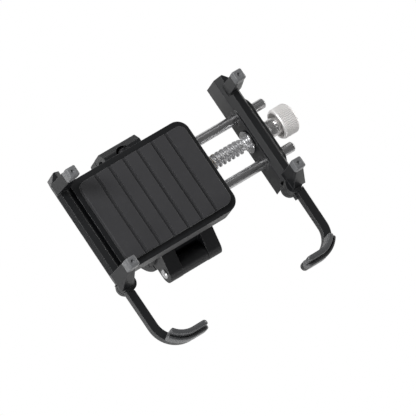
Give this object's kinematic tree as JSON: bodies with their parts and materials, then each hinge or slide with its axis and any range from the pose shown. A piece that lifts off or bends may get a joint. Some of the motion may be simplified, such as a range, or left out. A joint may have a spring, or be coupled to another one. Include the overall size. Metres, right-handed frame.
{
  "type": "bicycle phone mount",
  "caption": "Black alloy handlebar phone mount with swivelling cradle, fingered jaws, swinging corner claws and a knurled silver adjuster knob.",
  "frame": {"origin": "centre of the handlebar clamp's bore", "axes": "+X along the handlebar towards the knob, +Y towards the phone's top, +Z out of the phone's screen"},
  "size_m": [0.0985, 0.0829, 0.0725],
  "materials": {
    "black_alloy": "satin black anodised",
    "silver_alloy": "bright knurled",
    "steel": "ground",
    "black_steel": "black oxide",
    "brass": "turned",
    "polymer": "acetal, matte",
    "liner_rubber": "matte",
    "pad_rubber": "matte silicone",
    "boot_rubber": "satin grey-black"
  },
  "bodies": {
    "bar_clamp": {"clamp_saddle": "black_alloy", "saddle_liner": "liner_rubber", "hinge_pin": "steel", "turntable_bush": "polymer"},
    "barrel_nut": {"barrel_nut": "steel"},
    "clamp_strap": {"clamp_strap": "black_alloy", "strap_liner": "liner_rubber", "clamp_washer": "steel"},
    "clamp_bolt": {"clamp_bolt": "black_steel"},
    "cradle": {"base_block": "black_alloy", "base_pad": "pad_rubber", "left_jaw": "black_alloy", "left_jaw_screws": "black_steel", "left_finger_boots": "boot_rubber", "guide_rods": "steel", "rod_grub_screws": "black_steel", "screw_nut": "brass", "swivel_screw": "black_steel", "wave_washer": "steel", "left_claw_screw": "black_steel"},
    "right_jaw": {"right_jaw": "black_alloy", "right_finger_boots": "boot_rubber", "rod_bushes": "polymer", "thrust_washer": "steel", "right_claw_screw": "black_steel"},
    "jaw_screw": {"lead_screw": "steel", "adjuster_knob": "silver_alloy", "retaining_clip": "steel", "knob_grub_screw": "black_steel"},
    "left_claw": {"left_claw": "black_alloy", "left_claw_boot": "boot_rubber"},
    "right_claw": {"right_claw": "black_alloy", "right_claw_boot": "boot_rubber"}
  },
  "joints": [
    {"name": "cradle_swivel", "type": "hinge", "parent": "bar_clamp", "child": "cradle", "pos_m": [0, 0, 0.0215], "axis": [0, 0, 1], "continuous": true},
    {"name": "right_jaw_slide", "type": "slide", "parent": "cradle", "child": "right_jaw", "axis": [1, 0, 0], "range_m": [-0.017, 0.01]},
    {"name": "jaw_screw_spin", "type": "hinge", "parent": "right_jaw", "child": "jaw_screw", "pos_m": [0.04, 0, 0.03], "axis": [1, 0, 0], "range_deg": [-3062, 1802]},
    {"name": "left_claw_swing", "type": "hinge", "parent": "cradle", "child": "left_claw", "pos_m": [-0.0385, -0.0236, 0.0337], "axis": [0, 0, -1], "range_deg": [-12, 25]},
    {"name": "right_claw_swing", "type": "hinge", "parent": "right_jaw", "child": "right_claw", "pos_m": [0.0385, -0.0236, 0.0337], "axis": [0, 0, 1], "range_deg": [-12, 25]},
    {"name": "strap_open", "type": "hinge", "parent": "bar_clamp", "child": "clamp_strap", "pos_m": [0, -0.0232, 0.0045], "axis": [-1, 0, 0], "range_deg": [0, 4]},
    {"name": "clamp_bolt_spin", "type": "hinge", "parent": "clamp_strap", "child": "clamp_bolt", "pos_m": [0, 0.0235, -0.0075], "axis": [0, 0, -1], "range_deg": [0, 1460]},
    {"name": "nut_turn", "type": "hinge", "parent": "bar_clamp", "child": "barrel_nut", "pos_m": [0, 0.0235, 0.0034], "axis": [-1, 0, 0], "range_deg": [0, 4]}
  ],
  "couplings": [
    {"joint": "jaw_screw_spin", "follows": "right_jaw_slide", "rad_per_m": 3141.6},
    {"joint": "strap_open", "follows": "clamp_bolt_spin", "ratio": 0.0027264},
    {"joint": "nut_turn", "follows": "clamp_bolt_spin", "ratio": 0.0027264}
  ]
}
